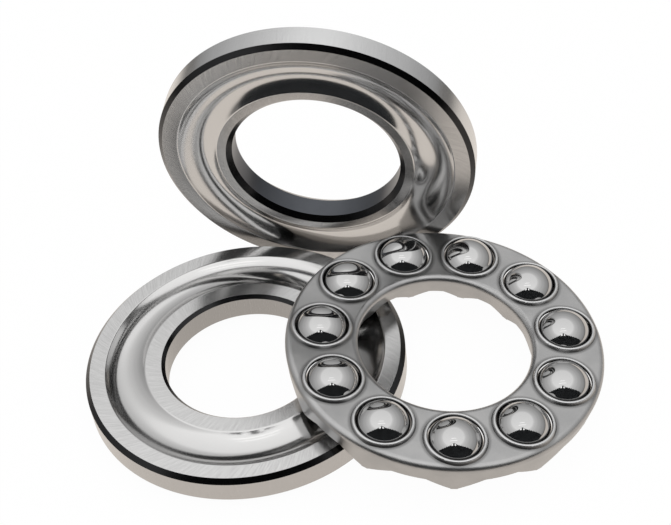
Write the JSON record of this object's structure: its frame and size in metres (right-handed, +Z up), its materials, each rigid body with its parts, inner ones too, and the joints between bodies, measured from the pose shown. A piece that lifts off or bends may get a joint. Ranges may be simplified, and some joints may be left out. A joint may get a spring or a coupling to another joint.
{
  "type": "thrust ball bearing",
  "caption": "Single-direction thrust ball bearing laid out in its pieces: a flat shaft washer, a standing housing washer and a pressed steel cage holding the balls.",
  "frame": {"origin": "on the shaft washer's axis, at the middle of the back face that it lies on", "axes": "+Z up, along the shaft washer's axis towards its raceway; +X towards the cage; -Y the side that the picture is taken from"},
  "size_m": [0.0959, 0.0709, 0.06],
  "materials": {
    "ground_steel": "ground and hardened bearing steel, raceway polished",
    "pressed_steel": "pressed sheet steel, tumbled to a satin grey",
    "polished_steel": "bearing balls, mirror polished"
  },
  "bodies": {
    "cage": {"cage": "pressed_steel"},
    "shaft_washer": {"shaft_washer": "ground_steel"},
    "housing_washer": {"housing_washer": "ground_steel"},
    "ball_01": {"ball_01": "polished_steel"},
    "ball_02": {"ball_02": "polished_steel"},
    "ball_03": {"ball_03": "polished_steel"},
    "ball_04": {"ball_04": "polished_steel"},
    "ball_05": {"ball_05": "polished_steel"},
    "ball_06": {"ball_06": "polished_steel"},
    "ball_07": {"ball_07": "polished_steel"},
    "ball_08": {"ball_08": "polished_steel"},
    "ball_09": {"ball_09": "polished_steel"},
    "ball_10": {"ball_10": "polished_steel"},
    "ball_11": {"ball_11": "polished_steel"}
  },
  "joints": [
    {"name": "shaft_washer_spin", "type": "hinge", "parent": "cage", "child": "shaft_washer", "pos_m": [0, 0, 0.00677], "axis": [0, 0, 1], "continuous": true},
    {"name": "housing_washer_spin", "type": "hinge", "parent": "cage", "child": "housing_washer", "pos_m": [0.0155, 0.0259, 0.02964], "axis": [-0.1466, -0.9808, -0.1288], "continuous": true},
    {"name": "ball_01_spin", "type": "hinge", "parent": "cage", "child": "ball_01", "pos_m": [0.05903, -0.0001, 0.00541], "axis": [0.9751, 0.1691, -0.1433], "continuous": true},
    {"name": "ball_02_spin", "type": "hinge", "parent": "cage", "child": "ball_02", "pos_m": [0.05355, 0.01128, 0.00648], "axis": [0.7315, 0.675, -0.0959], "continuous": true},
    {"name": "ball_03_spin", "type": "hinge", "parent": "cage", "child": "ball_03", "pos_m": [0.04284, 0.01784, 0.00823], "axis": [0.2557, 0.9666, -0.0181], "continuous": true},
    {"name": "ball_04_spin", "type": "hinge", "parent": "cage", "child": "ball_04", "pos_m": [0.03031, 0.0175, 0.01011], "axis": [-0.3013, 0.9513, 0.0655], "continuous": true},
    {"name": "ball_05_spin", "type": "hinge", "parent": "cage", "child": "ball_05", "pos_m": [0.01993, 0.01036, 0.01153], "axis": [-0.7627, 0.6339, 0.1283], "continuous": true},
    {"name": "ball_06_spin", "type": "hinge", "parent": "cage", "child": "ball_06", "pos_m": [0.01499, -0.00131, 0.01202], "axis": [-0.9819, 0.1153, 0.1504], "continuous": true},
    {"name": "ball_07_spin", "type": "hinge", "parent": "cage", "child": "ball_07", "pos_m": [0.01708, -0.0138, 0.01144], "axis": [-0.8894, -0.4399, 0.1247], "continuous": true},
    {"name": "ball_08_spin", "type": "hinge", "parent": "cage", "child": "ball_08", "pos_m": [0.02551, -0.02315, 0.00998], "axis": [-0.5145, -0.8555, 0.0594], "continuous": true},
    {"name": "ball_09_spin", "type": "hinge", "parent": "cage", "child": "ball_09", "pos_m": [0.03762, -0.02639, 0.00808], "axis": [0.0238, -0.9994, -0.0247], "continuous": true},
    {"name": "ball_10_spin", "type": "hinge", "parent": "cage", "child": "ball_10", "pos_m": [0.04956, -0.02249, 0.00637], "axis": [0.5545, -0.8261, -0.101], "continuous": true},
    {"name": "ball_11_spin", "type": "hinge", "parent": "cage", "child": "ball_11", "pos_m": [0.05754, -0.01269, 0.00537], "axis": [0.9091, -0.3904, -0.1452], "continuous": true}
  ],
  "couplings": [
    {"joint": "housing_washer_spin", "follows": "shaft_washer_spin", "ratio": 1},
    {"joint": "ball_01_spin", "follows": "shaft_washer_spin", "ratio": 4.3609},
    {"joint": "ball_02_spin", "follows": "shaft_washer_spin", "ratio": 4.3609},
    {"joint": "ball_03_spin", "follows": "shaft_washer_spin", "ratio": 4.3609},
    {"joint": "ball_04_spin", "follows": "shaft_washer_spin", "ratio": 4.3609},
    {"joint": "ball_05_spin", "follows": "shaft_washer_spin", "ratio": 4.3609},
    {"joint": "ball_06_spin", "follows": "shaft_washer_spin", "ratio": 4.3609},
    {"joint": "ball_07_spin", "follows": "shaft_washer_spin", "ratio": 4.3609},
    {"joint": "ball_08_spin", "follows": "shaft_washer_spin", "ratio": 4.3609},
    {"joint": "ball_09_spin", "follows": "shaft_washer_spin", "ratio": 4.3609},
    {"joint": "ball_10_spin", "follows": "shaft_washer_spin", "ratio": 4.3609},
    {"joint": "ball_11_spin", "follows": "shaft_washer_spin", "ratio": 4.3609}
  ]
}
